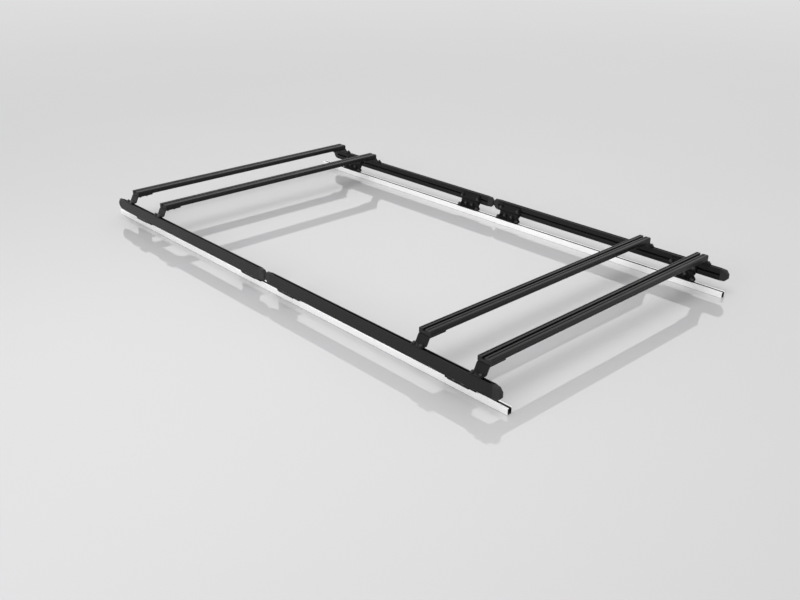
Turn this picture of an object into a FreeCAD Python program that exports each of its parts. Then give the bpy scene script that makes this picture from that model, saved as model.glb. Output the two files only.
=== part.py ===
# Ladder rack for a truck canopy: four slotted crossbars on two pairs of half-length side rails,
# carried by eight bolted feet in two slotted roof tracks.
# Millimetres. +X is the vehicle's front, +Y its left side, +Z up. The tracks rest on Z = 0.
import FreeCAD, Part
import math
import os

Vec = FreeCAD.Vector

# ---- driving dimensions -----------------------------------------------------------------------
TRACK_LENGTH = 2490.0
TRACK_WIDTH = 23.0
TRACK_HEIGHT = 23.0
TRACK_WALL = 3.0
TRACK_EDGE = 1.0            # rounded long edges
TRACK_CENTRE_Y = 625.0
TRACK_SLOT = 9.0            # mouth of the slot on top
TRACK_CAVITY = 17.0         # width of the slot under its lips
ROOF_SCREW_PITCH = 300.0
ROOF_SCREW_HOLE = 5.5
ROOF_SCREW_REACH = 1200.0   # first and last hole from the middle of the track

RAIL_HALF_LENGTH = 1214.0   # one half rail with its two end caps
RAIL_THICK = 18.0
RAIL_HEIGHT = 48.0
RAIL_OUTER_Y = 667.0
RAIL_BOTTOM_Z = 52.5
RAIL_SLOT = 8.5
RAIL_CAVITY = 13.5
RAIL_LIP = 2.5
RAIL_SLOT_DEPTH = 8.5       # lip and cavity together
INNER_SLOT_DROP = 24.5      # from the rail's top to the middle of its inner slot
RAIL_WALL = 2.5
RAIL_OUTER_EDGE = 3.0       # rounded long edges
RAIL_INNER_EDGE = 1.0
LOW_CHAMBER = (2.5, 14.0)   # heights of the hollow under the inner slot
BACK_CHAMBER = (16.5, 37.0)  # and of the hollow behind it
SEAM_HEIGHTS = (7.5, 10.0)  # a fine line along the inner face
SEAM_DEPTH = 1.0
REAR_RAIL_START = -1241.0   # rear tip of the rear half
RAIL_JOINT_GAP = 1.0        # between the two halves

CAP_LENGTH = 33.0           # how far an end cap stands out of the extrusion
NOSE_FOOT = 18.0            # where its lower bevel starts, out from the extrusion
NOSE_TIP = (15.0, 33.0)     # heights of its upright tip
NOSE_CREST = 21.0           # where its upper bevel starts
NOSE_ROUND = 5.0
NOSE_RIM = 3.0
LOW_PLUG = (2.7, 13.8, 22.0)  # low and high edge, and reach into the extrusion
TOP_PLUG_REACH = 16.0
PLUG_CLEAR = 0.2

BAR_LENGTH = 1255.0         # over the end caps
BAR_WIDTH = 54.0
BAR_HEIGHT = 20.0
BAR_BOTTOM_Z = 131.0
BAR_SLOT = 10.0
BAR_CAVITY = 17.0
BAR_LIP = 3.0
BAR_SLOT_DEPTH = 9.0
BAR_SLOT_FORWARD = 3.0      # the slots sit a little in front of the bar's middle
BAR_TOP_EDGE = 4.5          # rounded long edges
BAR_FOOT_EDGE = 2.5
BAR_SIDE_WALL = 3.5
BAR_FLOOR_WALL = 2.5
BAR_ROOF_WALL = 4.5
BAR_SLOT_WALL = 2.0
BAR_GROOVES = (15.5, -14.5)  # along the top, from the slot's middle
GROOVE_WIDTH = 4.0
GROOVE_DEPTH = 3.0
BAR_SEAM_DEPTH = 0.9
BAR_CAP_THICK = 4.0
BAR_CAP_RIM = 1.0
BAR_CAP_PLUG = 14.0
BAR_CAP_CLEAR = 0.15
BAR_X = {1: 1081.0, 2: 821.0, 3: -876.0, 4: -1135.0}

BRACKET_THICK = 5.0
BRACKET_WIDTH = 51.0
BRACKET_INNER_Y = 550.0
BRACKET_KNEE_Y = 629.5      # where the plate leaves the bar's end
BRACKET_ANKLE_Y = 642.5     # where it turns out over the rail
BRACKET_ANKLE_SHARE = 0.55  # the share of the plate's slant outside that line
BRACKET_CORNER = 6.0
BRACKET_BEND = (6.0, 2.0)   # outside and inside radius of its two bends
BRACKET_LIP = 1.0           # its outer edge stops this far inside the rail's face
BAR_BOLT_Y = (570.0, 603.0)
RAIL_BOLT_SPREAD = 32.0     # between the two bolts of one bracket

FOOT_WIDTH = 118.0
FOOT_THICK = 6.0
FOOT_TOP_Z = 92.0
FOOT_BOTTOM_Z = 30.0
FOOT_BEVEL = (12.0, 20.0)   # across and up, at its two lower corners
FOOT_CORNER = 6.0
FOOT_RIM = 1.0
FOOT_RAIL_BOLTS = 101.0     # apart
BASE_LENGTH = 130.0
BASE_NARROWING = 4.0        # each end of the upstand, inside the plate's edge
BASE_FLARE = (7.0, 19.0)    # heights between which the upstand narrows
BASE_BEND = 3.0
BASE_CORNER = 5.0
BASE_TOP_CORNER = 4.0
BASE_THICK = 5.5
BASE_TOP_Z = 57.0
BASE_INNER_Y = 616.0
CLAMP_BOLTS = 40.0          # apart
CLAMP_BOLT_Z = 42.5
TRACK_BOLTS = 112.0         # apart
FEET_X = {"front": {"front": 1002.0, "rear": 115.0}, "rear": {"front": -137.0, "rear": -1050.0}}

SLIDE_GAP = 0.3             # between a sliding piece and what it slides on
SEAT = 0.05                 # between pieces bolted together
M6, M8 = 3.0, 4.0           # bolt radii
HOLE_CLEAR = 0.5            # a bolt hole's radius over its bolt's
NUT_HEIGHT = {M6: 5.0, M8: 6.5}
WASHER_THICK = {M6: 1.2, M8: 1.6}
WASHER_GAP = 0.1            # between washer and nut
WASHER_CLEAR = 0.2          # around the bolt
WASHER_RADIUS = 2.05        # in bolt radii
NUT_ACROSS_FLATS = 3.25     # in bolt radii
NUT_CROWN = 0.9             # the slope of its chamfered crown, and the crown's top in corner radii
COUNTERSINK = 4.0           # depth of a countersunk M8 head, as wide again as its shank
COUNTERSINK_CLEAR = 0.1
# hammer heads: length along the rack, size across the slot, thickness; and their bolts' lengths
RAIL_HEAD_M8, RAIL_BOLT_M8 = (14.0, 12.5, 4.5), 20.0
TRACK_HEAD_M8, TRACK_BOLT_M8 = (18.0, 16.0, 5.0), 21.0
BAR_HEAD_M8, BAR_BOLT_M8 = (16.0, 18.0, 5.0), 20.0
RAIL_HEAD_M6, RAIL_BOLT_M6 = (14.0, 12.5, 4.0), 16.5
CLAMP_BOLT_M8 = 23.0

RAIL_TOP_Z = RAIL_BOTTOM_Z + RAIL_HEIGHT
RAIL_INNER_Y = RAIL_OUTER_Y - RAIL_THICK
RAIL_MID_Y = RAIL_OUTER_Y - RAIL_THICK / 2
BAR_TOP_Z = BAR_BOTTOM_Z + BAR_HEIGHT
FRONT_RAIL_START = REAR_RAIL_START + RAIL_HALF_LENGTH + RAIL_JOINT_GAP
INNER_SLOT_Z = RAIL_TOP_Z - INNER_SLOT_DROP


# ---- shared shapes ----------------------------------------------------------------------------
def block(x, y, z):
    """A box from its low and high limits along each axis."""
    return Part.makeBox(x[1] - x[0], y[1] - y[0], z[1] - z[0], Vec(x[0], y[0], z[0]))


def plate(outline, depth):
    """A flat plate: a closed outline of points, pushed out along the depth vector."""
    wire = Part.makePolygon([Vec(*p) for p in outline + outline[:1]])
    return Part.Face(wire).extrude(Vec(*depth))


def edges_along(shape, axis, keep):
    """The straight edges along one axis whose middle passes the keep test."""
    chosen = []
    for edge in shape.Edges:
        if len(edge.Vertexes) != 2:
            continue
        run = edge.Vertexes[1].Point - edge.Vertexes[0].Point
        if run.Length > 1e-6 and abs(abs(run.normalize().dot(Vec(*axis))) - 1) < 1e-6:
            if keep(edge.CenterOfMass):
                chosen.append(edge)
    return chosen


def mirrored(shape):
    """The same piece for the other side of the vehicle."""
    return shape.mirror(Vec(0, 0, 0), Vec(0, 1, 0))


def hexagon(across_flats, height):
    """A hexagonal prism standing on the origin, its corners bevelled at the far end."""
    radius = across_flats / math.sqrt(3)
    ring = [Vec(radius * math.cos(math.radians(60 * k)), radius * math.sin(math.radians(60 * k)), 0)
            for k in range(6)]
    body = Part.Face(Part.makePolygon(ring + ring[:1])).extrude(Vec(0, 0, height))
    return body.common(Part.makeCone(radius + height * NUT_CROWN, radius * NUT_CROWN, height))


def turned(shape, centre, axis):
    """Stands a shape built along +Z on a point, along another axis."""
    shape = shape.copy()
    shape.Placement = FreeCAD.Placement(Vec(*centre), FreeCAD.Rotation(Vec(0, 0, 1), Vec(*axis)))
    return shape


def washer_and_nut(radius, centre, axis):
    """What holds a bolt: a plain washer on the clamped face, and a hexagon nut on it."""
    thick, tall = WASHER_THICK[radius], NUT_HEIGHT[radius]
    ring = Part.makeCylinder(radius * WASHER_RADIUS, thick)
    ring = ring.cut(Part.makeCylinder(radius + WASHER_CLEAR, thick))
    on_washer = Vec(*centre) + Vec(*axis) * (thick + WASHER_GAP)
    body = hexagon(radius * NUT_ACROSS_FLATS, tall).cut(Part.makeCylinder(radius + SEAT, tall))
    return [turned(ring, centre, axis), turned(body, on_washer, axis)]


def slot_bolt(radius, head, centre, axis, length):
    """A hammer-head bolt: a block that turns under a slot's lips, and its shank.
    The centre is the seat of the head, and the shank runs from it along the axis."""
    long, wide, thick = head
    body = block((-long / 2, long / 2), (-wide / 2, wide / 2), (-thick, 0))
    tilt = FreeCAD.Rotation(Vec(1, 0, 0), math.degrees(math.atan2(-axis[1], axis[2])))
    body.Placement = FreeCAD.Placement(Vec(*centre), tilt)
    shank = Part.makeCylinder(radius, length, Vec(*centre), Vec(*axis))
    return body.fuse(shank).removeSplitter()


def hole(radius, start, axis, length=12.0):
    """The drill for a hole, long enough for any plate here."""
    return Part.makeCylinder(radius, length, Vec(*start), Vec(*axis))


def save(name, shapes):
    shape = shapes[0] if len(shapes) == 1 else Part.makeCompound(shapes)
    shape.exportStep("parts/" + name + ".step")


# ---- roof tracks ------------------------------------------------------------------------------
def make_track():
    half = TRACK_LENGTH / 2
    side = TRACK_WIDTH / 2
    mid = TRACK_CENTRE_Y
    body = block((-half, half), (mid - side, mid + side), (0, TRACK_HEIGHT))
    body = body.makeFillet(TRACK_EDGE, edges_along(body, (1, 0, 0), lambda p: True))
    cavity = block((-half, half), (mid - TRACK_CAVITY / 2, mid + TRACK_CAVITY / 2),
                   (TRACK_WALL, TRACK_HEIGHT - TRACK_WALL))
    mouth = block((-half, half), (mid - TRACK_SLOT / 2, mid + TRACK_SLOT / 2),
                  (TRACK_WALL, TRACK_HEIGHT))
    cuts = [cavity, mouth]
    count = int(round(2 * ROOF_SCREW_REACH / ROOF_SCREW_PITCH)) + 1
    for k in range(count):
        x = -ROOF_SCREW_REACH + k * ROOF_SCREW_PITCH
        cuts.append(hole(ROOF_SCREW_HOLE / 2, (x, mid, 0), (0, 0, 1), TRACK_WALL))
    return body.cut(cuts)


# ---- side rails -------------------------------------------------------------------------------
def on_rail(heights):
    """Heights above the rail's bottom, as places."""
    return tuple(RAIL_BOTTOM_Z + h for h in heights)


def make_rail(start):
    """One half-length side rail: a hollow extrusion with a slot on top and one inside."""
    x = (start + CAP_LENGTH, start + RAIL_HALF_LENGTH - CAP_LENGTH)
    body = block(x, (RAIL_INNER_Y, RAIL_OUTER_Y), (RAIL_BOTTOM_Z, RAIL_TOP_Z))
    body = body.makeFillet(RAIL_OUTER_EDGE, edges_along(body, (1, 0, 0), lambda p: p.y > RAIL_MID_Y))
    inner_edges = edges_along(body, (1, 0, 0), lambda p: p.y < RAIL_INNER_Y + 0.5)
    body = body.makeFillet(RAIL_INNER_EDGE, inner_edges)
    depth_z = RAIL_TOP_Z - RAIL_SLOT_DEPTH
    depth_y = RAIL_INNER_Y + RAIL_SLOT_DEPTH
    top_mouth = block(x, (RAIL_MID_Y - RAIL_SLOT / 2, RAIL_MID_Y + RAIL_SLOT / 2),
                      (depth_z, RAIL_TOP_Z))
    top_cavity = block(x, (RAIL_MID_Y - RAIL_CAVITY / 2, RAIL_MID_Y + RAIL_CAVITY / 2),
                       (depth_z, RAIL_TOP_Z - RAIL_LIP))
    side_mouth = block(x, (RAIL_INNER_Y, depth_y),
                       (INNER_SLOT_Z - RAIL_SLOT / 2, INNER_SLOT_Z + RAIL_SLOT / 2))
    side_cavity = block(x, (RAIL_INNER_Y + RAIL_LIP, depth_y),
                        (INNER_SLOT_Z - RAIL_CAVITY / 2, INNER_SLOT_Z + RAIL_CAVITY / 2))
    low_chamber = block(x, (RAIL_INNER_Y + RAIL_WALL, RAIL_OUTER_Y - RAIL_WALL), on_rail(LOW_CHAMBER))
    back_chamber = block(x, (depth_y + RAIL_WALL, RAIL_OUTER_Y - RAIL_WALL), on_rail(BACK_CHAMBER))
    seam = block(x, (RAIL_INNER_Y, RAIL_INNER_Y + SEAM_DEPTH), on_rail(SEAM_HEIGHTS))
    return body.cut([top_mouth, top_cavity, side_mouth, side_cavity, low_chamber, back_chamber, seam])


def make_rail_cap(join, facing):
    """A moulded nose that plugs one end of a half rail. facing is +1 forwards, -1 rearwards."""
    def out(d):
        return join + facing * d

    tip_low, tip_high = on_rail(NOSE_TIP)
    nose = [(0, RAIL_BOTTOM_Z), (NOSE_FOOT, RAIL_BOTTOM_Z), (CAP_LENGTH, tip_low),
            (CAP_LENGTH, tip_high), (NOSE_CREST, RAIL_TOP_Z), (0, RAIL_TOP_Z)]
    body = plate([(out(d), RAIL_INNER_Y, z) for d, z in nose], (0, RAIL_THICK, 0))
    corners = edges_along(body, (0, 1, 0), lambda p: abs(p.x - join) > 1)
    body = body.makeFillet(NOSE_ROUND, corners)
    rim = [e for e in body.Edges if abs(e.CenterOfMass.x - join) > 0.5
           and (abs(e.CenterOfMass.y - RAIL_INNER_Y) < 0.01 or abs(e.CenterOfMass.y - RAIL_OUTER_Y) < 0.01)]
    body = body.makeChamfer(NOSE_RIM, rim)
    low, high, reach = LOW_PLUG
    low_plug = block(tuple(sorted((out(-reach), out(1)))), (RAIL_INNER_Y + low, RAIL_OUTER_Y - low),
                     on_rail((low, high)))
    half = RAIL_CAVITY / 2 - PLUG_CLEAR
    top_plug = block(tuple(sorted((out(-TOP_PLUG_REACH), out(1)))), (RAIL_MID_Y - half, RAIL_MID_Y + half),
                     (RAIL_TOP_Z - RAIL_SLOT_DEPTH + PLUG_CLEAR, RAIL_TOP_Z - RAIL_LIP - PLUG_CLEAR))
    return body.fuse([low_plug, top_plug]).removeSplitter()


# ---- feet -------------------------------------------------------------------------------------
def make_foot_plate(x):
    """The upright plate that hangs on the rail's inner face."""
    half, top, low = FOOT_WIDTH / 2, FOOT_TOP_Z, FOOT_BOTTOM_Z
    across, up = FOOT_BEVEL
    outer = RAIL_INNER_Y - SEAT
    outline = [(x - half, top), (x + half, top), (x + half, low + up), (x + half - across, low),
               (x - half + across, low), (x - half, low + up)]
    body = plate([(px, outer, pz) for px, pz in outline], (0, -FOOT_THICK, 0))
    body = body.makeFillet(FOOT_CORNER, edges_along(body, (0, 1, 0), lambda p: True))
    rim = [e for e in body.Edges if abs(e.CenterOfMass.y - (outer - FOOT_THICK)) < 0.01]
    body = body.makeChamfer(FOOT_RIM, rim)
    cuts = []
    for s in (-1, 1):
        rail_bolt = (x + s * FOOT_RAIL_BOLTS / 2, outer, INNER_SLOT_Z)
        clamp_bolt = (x + s * CLAMP_BOLTS / 2, outer, CLAMP_BOLT_Z)
        cuts += [hole(M8 + HOLE_CLEAR, rail_bolt, (0, -1, 0)), hole(M8 + HOLE_CLEAR, clamp_bolt, (0, -1, 0)),
                 countersunk_head(clamp_bolt, COUNTERSINK_CLEAR)]
    return body.cut(cuts)


def countersunk_head(centre, clear):
    """The cone of a countersunk M8 head, sunk from the centre of its face, grown by a clearance."""
    cone = Part.makeCone(M8 + COUNTERSINK + clear, M8 + clear, COUNTERSINK)
    return turned(cone, centre, (0, -1, 0))


def make_foot_base(x):
    """The angle under the plate: an upstand bolted to it, and a flange on the roof track."""
    outer = RAIL_INNER_Y - FOOT_THICK - 2 * SEAT
    inner = outer - BASE_THICK
    floor = TRACK_HEIGHT + SLIDE_GAP
    half_top, half_low = FOOT_WIDTH / 2 - BASE_NARROWING, BASE_LENGTH / 2
    flare_low, flare_high = floor + BASE_FLARE[0], floor + BASE_FLARE[1]
    outline = [(-half_low, floor), (half_low, floor), (half_low, flare_low), (half_top, flare_high),
               (half_top, BASE_TOP_Z), (-half_top, BASE_TOP_Z), (-half_top, flare_high),
               (-half_low, flare_low)]
    web = plate([(x + px, outer, pz) for px, pz in outline], (0, -BASE_THICK, 0))
    flange = block((x - half_low, x + half_low), (BASE_INNER_Y, outer), (floor, floor + BASE_THICK))
    free_corners = edges_along(flange, (0, 0, 1), lambda p: p.y < BASE_INNER_Y + 1)
    flange = flange.makeFillet(BASE_CORNER, free_corners)
    body = web.fuse(flange).removeSplitter()
    bend = edges_along(body, (1, 0, 0),
                       lambda p: abs(p.y - inner) < 0.1 and abs(p.z - floor - BASE_THICK) < 0.1)
    body = body.makeFillet(BASE_BEND, bend)
    top_corners = edges_along(body, (0, 1, 0), lambda p: p.z > BASE_TOP_Z - 0.1)
    body = body.makeFillet(BASE_TOP_CORNER, top_corners)
    cuts = []
    for s in (-1, 1):
        cuts.append(hole(M8 + HOLE_CLEAR, (x + s * CLAMP_BOLTS / 2, outer, CLAMP_BOLT_Z), (0, -1, 0)))
        cuts.append(hole(M8 + HOLE_CLEAR, (x + s * TRACK_BOLTS / 2, TRACK_CENTRE_Y, floor), (0, 0, 1)))
    return body.cut(cuts)


def foot_rail_bolts(x):
    """Two hammer-head bolts from the rail's inner slot through the foot plate."""
    seat = RAIL_INNER_Y + RAIL_LIP + SEAT
    face = RAIL_INNER_Y - FOOT_THICK - 2 * SEAT
    made = []
    for s in (-1, 1):
        px = x + s * FOOT_RAIL_BOLTS / 2
        made.append(slot_bolt(M8, RAIL_HEAD_M8, (px, seat, INNER_SLOT_Z), (0, -1, 0), RAIL_BOLT_M8))
        made += washer_and_nut(M8, (px, face, INNER_SLOT_Z), (0, -1, 0))
    return made


def foot_clamp_bolts(x):
    """Two countersunk bolts, flush in the plate, that clamp the base to it."""
    start = RAIL_INNER_Y - SEAT
    face = RAIL_INNER_Y - FOOT_THICK - BASE_THICK - 3 * SEAT
    made = []
    for s in (-1, 1):
        px = x + s * CLAMP_BOLTS / 2
        shank = hole(M8, (px, start, CLAMP_BOLT_Z), (0, -1, 0), CLAMP_BOLT_M8)
        made.append(countersunk_head((px, start, CLAMP_BOLT_Z), 0).fuse(shank).removeSplitter())
        made += washer_and_nut(M8, (px, face, CLAMP_BOLT_Z), (0, -1, 0))
    return made


def foot_track_bolts(x):
    """Two hammer-head bolts from the track's slot through the base flange."""
    seat = TRACK_HEIGHT - TRACK_WALL - SLIDE_GAP
    face = TRACK_HEIGHT + SLIDE_GAP + BASE_THICK + SEAT
    made = []
    for s in (-1, 1):
        px = x + s * TRACK_BOLTS / 2
        made.append(slot_bolt(M8, TRACK_HEAD_M8, (px, TRACK_CENTRE_Y, seat), (0, 0, 1), TRACK_BOLT_M8))
        made += washer_and_nut(M8, (px, TRACK_CENTRE_Y, face), (0, 0, 1))
    return made


# ---- crossbars --------------------------------------------------------------------------------
def bar_blank(x, y):
    """A bar's solid outer shape, from one place to another across the rack."""
    half = BAR_WIDTH / 2
    body = block((x - half, x + half), y, (BAR_BOTTOM_Z, BAR_TOP_Z))
    top_edges = edges_along(body, (0, 1, 0), lambda p: p.z > BAR_TOP_Z - 0.1)
    body = body.makeFillet(BAR_TOP_EDGE, top_edges)
    low_edges = edges_along(body, (0, 1, 0), lambda p: p.z < BAR_BOTTOM_Z + 0.1)
    return body.makeFillet(BAR_FOOT_EDGE, low_edges)


def bar_chambers(x, y, clear):
    """The two closed hollows on either side of the slots, shrunk by a clearance."""
    slot = x + BAR_SLOT_FORWARD
    near = BAR_CAVITY / 2 + BAR_SLOT_WALL + clear
    far = BAR_WIDTH / 2 - BAR_SIDE_WALL - clear
    z = (BAR_BOTTOM_Z + BAR_FLOOR_WALL + clear, BAR_TOP_Z - BAR_ROOF_WALL - clear)
    return [block((slot + near, x + far), y, z), block((x - far, slot - near), y, z)]


def make_bar(x):
    """A hollow crossbar with an accessory slot on top and a mounting slot underneath."""
    reach = BAR_LENGTH / 2 - BAR_CAP_THICK
    y = (-reach, reach)
    slot = x + BAR_SLOT_FORWARD
    mouth = (slot - BAR_SLOT / 2, slot + BAR_SLOT / 2)
    under = (slot - BAR_CAVITY / 2, slot + BAR_CAVITY / 2)
    cuts = [block(mouth, y, (BAR_TOP_Z - BAR_SLOT_DEPTH, BAR_TOP_Z)),
            block(under, y, (BAR_TOP_Z - BAR_SLOT_DEPTH, BAR_TOP_Z - BAR_LIP)),
            block(mouth, y, (BAR_BOTTOM_Z, BAR_BOTTOM_Z + BAR_SLOT_DEPTH)),
            block(under, y, (BAR_BOTTOM_Z + BAR_LIP, BAR_BOTTOM_Z + BAR_SLOT_DEPTH))]
    cuts += bar_chambers(x, y, 0)
    for offset in BAR_GROOVES:
        groove = slot + offset
        cuts.append(block((groove - GROOVE_WIDTH / 2, groove + GROOVE_WIDTH / 2), y,
                          (BAR_TOP_Z - GROOVE_DEPTH, BAR_TOP_Z)))
    for face in (-1, 1):
        edge = x + face * BAR_WIDTH / 2
        cuts.append(block(tuple(sorted((edge, edge - face * BAR_SEAM_DEPTH))), y,
                          tuple(BAR_BOTTOM_Z + h for h in SEAM_HEIGHTS)))
    return bar_blank(x, y).cut(cuts)


def make_bar_cap(x):
    """The left end cap of one crossbar, open where the accessory slot runs out."""
    reach = BAR_LENGTH / 2
    y = (reach - BAR_CAP_THICK, reach)
    slot = x + BAR_SLOT_FORWARD
    body = bar_blank(x, y)
    rim = [e for e in body.Edges if abs(e.CenterOfMass.y - reach) < 0.01]
    body = body.makeChamfer(BAR_CAP_RIM, rim)
    body = body.cut(block((slot - BAR_SLOT / 2, slot + BAR_SLOT / 2), y,
                          (BAR_TOP_Z - BAR_SLOT_DEPTH, BAR_TOP_Z)))
    plugs = bar_chambers(x, (y[0] - BAR_CAP_PLUG, y[0] + 1), BAR_CAP_CLEAR)
    return body.fuse(plugs).removeSplitter()


def make_bracket(x):
    """The left bracket of one crossbar: one plate bent under the bar and out over the rail."""
    t = BRACKET_THICK
    top = BAR_BOTTOM_Z - SEAT
    low = RAIL_TOP_Z + SLIDE_GAP
    knee, ankle = BRACKET_KNEE_Y, BRACKET_ANKLE_Y
    lean = math.atan2(ankle - knee, top - t - low)
    shift = t / math.cos(lean) - t * math.tan(lean)
    ankle_over, ankle_under = ankle + shift * BRACKET_ANKLE_SHARE, ankle - shift * (1 - BRACKET_ANKLE_SHARE)
    outer = RAIL_OUTER_Y - BRACKET_LIP
    outline = [(BRACKET_INNER_Y, top), (knee, top), (ankle_over, low + t), (outer, low + t), (outer, low),
               (ankle_under, low), (knee - shift, top - t), (BRACKET_INNER_Y, top - t)]
    body = plate([(x - BRACKET_WIDTH / 2, y, z) for y, z in outline], (BRACKET_WIDTH, 0, 0))
    outside = [(knee, top), (ankle_under, low)]
    inside = [(knee - shift, top - t), (ankle_over, low + t)]
    for radius, bends in zip(BRACKET_BEND, (outside, inside)):
        edges = edges_along(body, (1, 0, 0), lambda p: any(math.dist((p.y, p.z), b) < 0.1 for b in bends))
        body = body.makeFillet(radius, edges)
    tips = edges_along(body, (0, 0, 1), lambda p: p.y < BRACKET_INNER_Y + 1 or p.y > outer - 1)
    body = body.makeFillet(BRACKET_CORNER, tips)
    slot = x + BAR_SLOT_FORWARD
    cuts = [hole(M8 + HOLE_CLEAR, (slot, y, top), (0, 0, -1)) for y in BAR_BOLT_Y]
    cuts += [hole(M6 + HOLE_CLEAR, (x + s * RAIL_BOLT_SPREAD / 2, RAIL_MID_Y, low), (0, 0, 1))
             for s in (-1, 1)]
    return body.cut(cuts)


def bar_bolts(x):
    """Hammer-head bolts hanging from the bar's lower slot, with the nuts under the bracket."""
    spot = x + BAR_SLOT_FORWARD
    seat = BAR_BOTTOM_Z + BAR_LIP + SEAT
    face = BAR_BOTTOM_Z - BRACKET_THICK - 2 * SEAT
    made = []
    for y in BAR_BOLT_Y:
        made.append(slot_bolt(M8, BAR_HEAD_M8, (spot, y, seat), (0, 0, -1), BAR_BOLT_M8))
        made += washer_and_nut(M8, (spot, y, face), (0, 0, -1))
    return made


def bracket_rail_bolts(x):
    """Hammer-head bolts standing in the rail's top slot, with the nuts on the bracket."""
    seat = RAIL_TOP_Z - RAIL_LIP - SLIDE_GAP
    face = RAIL_TOP_Z + SLIDE_GAP + BRACKET_THICK + SEAT
    made = []
    for s in (-1, 1):
        px = x + s * RAIL_BOLT_SPREAD / 2
        made.append(slot_bolt(M6, RAIL_HEAD_M6, (px, RAIL_MID_Y, seat), (0, 0, 1), RAIL_BOLT_M6))
        made += washer_and_nut(M6, (px, RAIL_MID_Y, face), (0, 0, 1))
    return made


# ---- everything, one file for each piece --------------------------------------------------------
os.makedirs("parts", exist_ok=True)


def both(pieces):
    return pieces + [mirrored(p) for p in pieces]


track = make_track()
save("track_left", [track])
save("track_right", [mirrored(track)])

for half_name, start in (("front", FRONT_RAIL_START), ("rear", REAR_RAIL_START)):
    left_pieces = {half_name + "_rail_%s": make_rail(start),
                   half_name + "_rail_%s_rear_cap": make_rail_cap(start + CAP_LENGTH, -1),
                   half_name + "_rail_%s_front_cap":
                       make_rail_cap(start + RAIL_HALF_LENGTH - CAP_LENGTH, 1)}
    for place, x in FEET_X[half_name].items():
        left_pieces[half_name + "_rail_%s_" + place + "_foot_plate"] = make_foot_plate(x)
        left_pieces[half_name + "_rail_%s_" + place + "_foot_base"] = make_foot_base(x)
    for pattern, piece in left_pieces.items():
        save(pattern % "left", [piece])
        save(pattern % "right", [mirrored(piece)])
    feet = list(FEET_X[half_name].values())
    save(half_name + "_foot_to_rail_bolts", both([p for x in feet for p in foot_rail_bolts(x)]))
    save(half_name + "_foot_clamp_bolts", both([p for x in feet for p in foot_clamp_bolts(x)]))
    save(half_name + "_foot_to_track_bolts", both([p for x in feet for p in foot_track_bolts(x)]))

for number, x in BAR_X.items():
    bar_name = "crossbar_%d" % number
    save(bar_name, [make_bar(x)])
    save(bar_name + "_end_caps", both([make_bar_cap(x)]))
    bracket = make_bracket(x)
    save(bar_name + "_bracket_left", [bracket])
    save(bar_name + "_bracket_right", [mirrored(bracket)])
    save(bar_name + "_to_bracket_bolts", both(bar_bolts(x)))
    save(bar_name + "_to_rail_bolts", both(bracket_rail_bolts(x)))
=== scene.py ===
# A ladder rack for a truck canopy, put together in the order it is built on the roof: tracks, side
# rails and their end caps, feet, crossbars, brackets and bolts. Sections are drawn in millimetres.
import math

import bmesh
import bpy
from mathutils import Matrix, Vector
from mathutils.geometry import tessellate_polygon


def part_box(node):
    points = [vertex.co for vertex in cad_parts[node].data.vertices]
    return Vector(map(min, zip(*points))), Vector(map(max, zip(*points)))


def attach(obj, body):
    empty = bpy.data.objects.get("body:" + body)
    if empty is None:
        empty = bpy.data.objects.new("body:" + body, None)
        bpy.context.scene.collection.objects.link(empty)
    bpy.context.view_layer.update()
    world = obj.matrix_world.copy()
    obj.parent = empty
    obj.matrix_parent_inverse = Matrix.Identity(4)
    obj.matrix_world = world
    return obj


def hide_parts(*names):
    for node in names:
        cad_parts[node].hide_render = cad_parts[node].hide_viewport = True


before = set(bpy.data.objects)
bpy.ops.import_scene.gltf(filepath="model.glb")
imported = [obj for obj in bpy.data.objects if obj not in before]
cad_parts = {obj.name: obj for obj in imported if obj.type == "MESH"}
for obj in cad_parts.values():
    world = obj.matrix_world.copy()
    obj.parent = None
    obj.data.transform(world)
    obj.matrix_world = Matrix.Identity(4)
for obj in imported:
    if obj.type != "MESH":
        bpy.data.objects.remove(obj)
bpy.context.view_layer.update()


# ---- Roof tracks --------------------------------------------------------------------------------
# Two square aluminium extrusions, clear anodised, that lie flat on the canopy roof. Each has a slot
# along its top for the feet's bolts, open at both ends, and screw holes in its floor.
MM = 0.001
X, Y, Z = Vector((1, 0, 0)), Vector((0, 1, 0)), Vector((0, 0, 1))
SIDES = {"left": 1, "right": -1}
TRACK_SLOT = (9.0, 17.0, 3.0, 20.0)      # mouth, channel, lip and depth
TRACK_EDGE = 1.0
TRACK_CENTRE, TRACK_TOP = 625.0, 23.0
SCREW_HOLE = 5.5
SCREW_PITCH = 300.0
SCREWS_EACH_WAY = 4                      # on each side of the middle one
TRACK_FLOOR = 3.0
DRILL_SPARE = 2.0                        # how far a drill starts before and ends beyond the metal
SAW_EASE = 0.3                           # the sharp edges taken off a track's sawn ends
SLOT_SHADE = (0.02, 0.02, 0.021, 1)            # painted shade: the dark colour given to the inside of the slot


def limits(node):
    """A piece's lowest and highest corners, in millimetres."""
    low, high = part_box(node)
    return low / MM, high / MM


def rounded(corners, steps=4):
    """A closed outline through (across, up, radius) corners, each radius turned as a short arc."""
    outline = []
    for i, (across, up, radius) in enumerate(corners):
        here = Vector((across, up))
        if radius <= 0:
            outline.append(here)
            continue
        back = (Vector(corners[i - 1][:2]) - here).normalized()
        ahead = (Vector(corners[(i + 1) % len(corners)][:2]) - here).normalized()
        half = back.angle(ahead) / 2
        centre = here + (back + ahead).normalized() * (radius / math.sin(half))
        first = here + back * (radius / math.tan(half)) - centre
        last = here + ahead * (radius / math.tan(half)) - centre
        start = math.atan2(first.y, first.x)
        turn = (math.atan2(last.y, last.x) - start + math.pi) % (2 * math.pi) - math.pi
        for k in range(steps + 1):
            angle = start + turn * k / steps
            outline.append(centre + Vector((math.cos(angle), math.sin(angle))) * radius)
    return outline


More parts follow.
